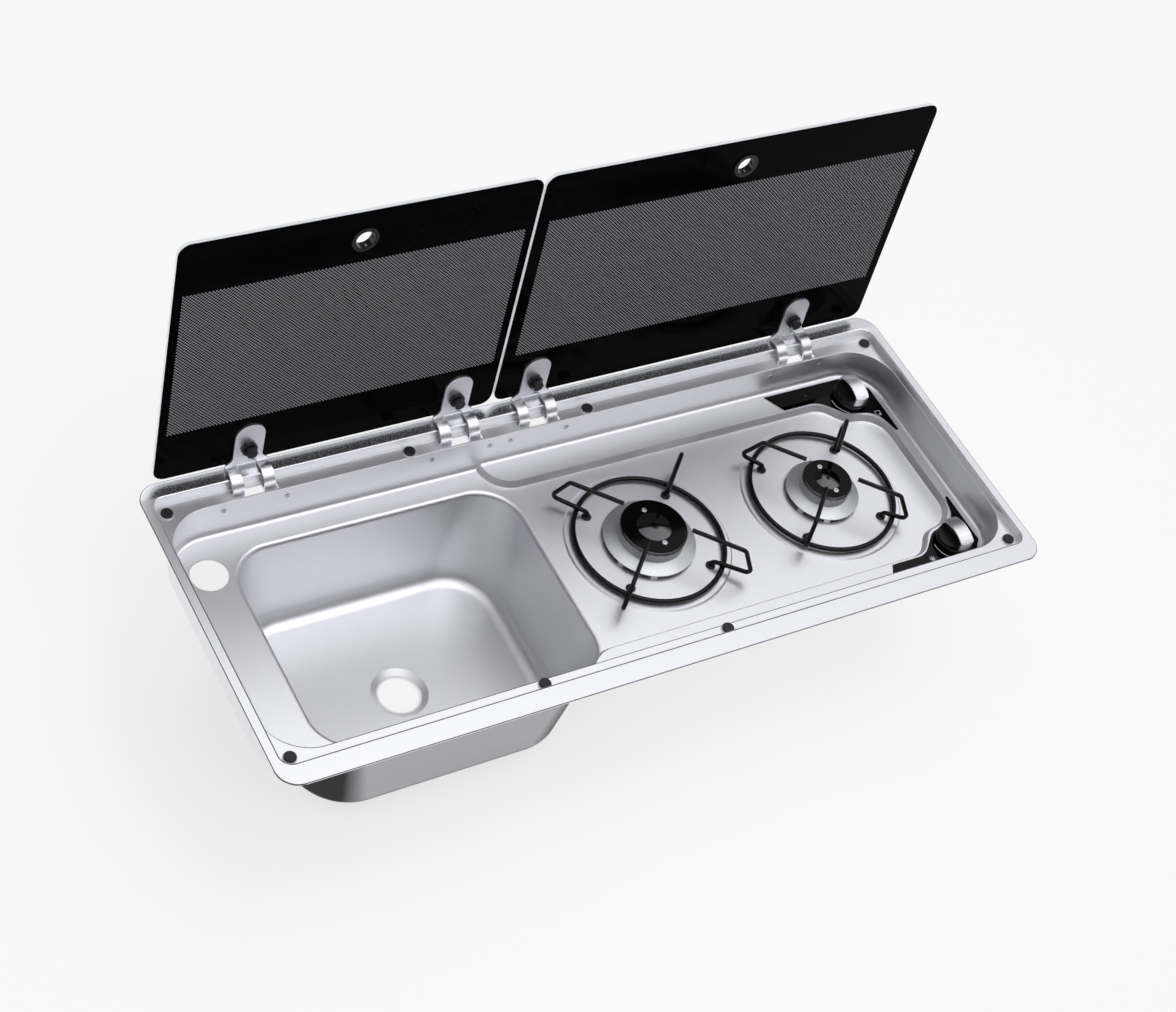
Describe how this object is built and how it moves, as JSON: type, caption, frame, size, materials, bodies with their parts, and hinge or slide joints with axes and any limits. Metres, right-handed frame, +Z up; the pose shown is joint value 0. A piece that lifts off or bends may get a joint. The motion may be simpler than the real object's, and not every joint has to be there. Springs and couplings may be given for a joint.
{
  "type": "hob and sink combination unit",
  "caption": "Built-in steel hob and sink unit: deep rectangular bowl beside gas burners with wire pan supports, corner knobs and hinged black glass lids.",
  "frame": {"origin": "middle of the unit in the plane where the rim's seal rests on the worktop", "axes": "+X along the unit from the sink to the hob, +Y to the hinge side, +Z up"},
  "size_m": [0.9, 0.3908, 0.5039],
  "materials": {
    "satin_steel": "satin",
    "seal_foam": "matt",
    "black_rubber": "matt",
    "pale_plastic": "satin",
    "plated_steel": "plated",
    "hinge_steel": "satin",
    "black_glass": "polished, printed black on the inner face",
    "black_plastic": "satin",
    "black_enamel": "gloss enamel",
    "burner_aluminium": "cast",
    "pipe_aluminium": "drawn",
    "brushed_aluminium": "brushed",
    "brass": "turned",
    "black_wire": "satin enamel",
    "panel_black": "satin print"
  },
  "bodies": {
    "unit": {"tray": "satin_steel", "tray_shelf": "satin_steel", "tray_deck": "satin_steel", "sink_bowl": "satin_steel", "rim_gasket": "seal_foam", "lid_bumpers": "black_rubber", "bumper_collars": "pale_plastic", "hinge_brackets": "plated_steel", "hinge_pins": "plated_steel", "hinge_rivets": "plated_steel", "foot_grommets": "black_rubber", "gas_manifold": "pipe_aluminium", "left_burner_cap": "black_enamel", "left_burner_cap_screws": "plated_steel", "left_burner_head": "burner_aluminium", "left_burner_ring": "satin_steel", "left_burner_cup": "burner_aluminium", "left_burner_flame_probe": "plated_steel", "left_burner_spark_rod": "plated_steel", "left_burner_injector": "brass", "right_burner_cap": "black_enamel", "right_burner_cap_screws": "plated_steel", "right_burner_head": "burner_aluminium", "right_burner_ring": "satin_steel", "right_burner_cup": "burner_aluminium", "right_burner_flame_probe": "plated_steel", "right_burner_spark_rod": "plated_steel", "right_burner_injector": "brass", "rear_control_panel": "panel_black", "rear_gas_valve": "burner_aluminium", "rear_feed_pipe": "pipe_aluminium", "front_control_panel": "panel_black", "front_gas_valve": "burner_aluminium", "front_feed_pipe": "pipe_aluminium"},
    "sink_lid": {"sink_lid_glass": "black_glass", "sink_lid_finger_ring": "black_plastic", "sink_lid_hinge_arms": "hinge_steel", "sink_lid_screws": "black_plastic", "sink_lid_discs": "hinge_steel"},
    "hob_lid": {"hob_lid_glass": "black_glass", "hob_lid_finger_ring": "black_plastic", "hob_lid_hinge_arms": "hinge_steel", "hob_lid_screws": "black_plastic", "hob_lid_discs": "hinge_steel"},
    "rear_push_rod": {"rear_plunger": "brass"},
    "rear_turn_knob": {"rear_knob": "black_plastic", "rear_knob_strip": "brushed_aluminium", "rear_spindle": "brass"},
    "front_push_rod": {"front_plunger": "brass"},
    "front_turn_knob": {"front_knob": "black_plastic", "front_knob_strip": "brushed_aluminium", "front_spindle": "brass"},
    "left_support": {"left_pan_support": "black_wire"},
    "right_support": {"right_pan_support": "black_wire"}
  },
  "joints": [
    {"name": "sink_lid_hinge", "type": "hinge", "parent": "unit", "child": "sink_lid", "pos_m": [-0.215, 0.172, -0.012], "axis": [1, 0, 0], "range_deg": [0, 93.4]},
    {"name": "hob_lid_hinge", "type": "hinge", "parent": "unit", "child": "hob_lid", "pos_m": [0.164, 0.172, -0.012], "axis": [1, 0, 0], "range_deg": [0, 93.4]},
    {"name": "rear_knob_push", "type": "slide", "parent": "unit", "child": "rear_push_rod", "axis": [0, 0, -1], "range_m": [0, 0.003], "stiffness_N_per_m": 1000, "springref_m": -0.003},
    {"name": "rear_knob_turn", "type": "hinge", "parent": "rear_push_rod", "child": "rear_turn_knob", "pos_m": [0.395, 0.11, -0.04], "axis": [0, 0, 1], "range_deg": [0, 200]},
    {"name": "front_knob_push", "type": "slide", "parent": "unit", "child": "front_push_rod", "axis": [0, 0, -1], "range_m": [0, 0.003], "stiffness_N_per_m": 1000, "springref_m": -0.003},
    {"name": "front_knob_turn", "type": "hinge", "parent": "front_push_rod", "child": "front_turn_knob", "pos_m": [0.395, -0.11, -0.04], "axis": [0, 0, 1], "range_deg": [0, 200]},
    {"name": "left_support_lift", "type": "slide", "parent": "unit", "child": "left_support", "axis": [0, 0, -1], "range_m": [-0.06, 0]},
    {"name": "right_support_lift", "type": "slide", "parent": "unit", "child": "right_support", "axis": [0, 0, -1], "range_m": [-0.06, 0]}
  ]
}
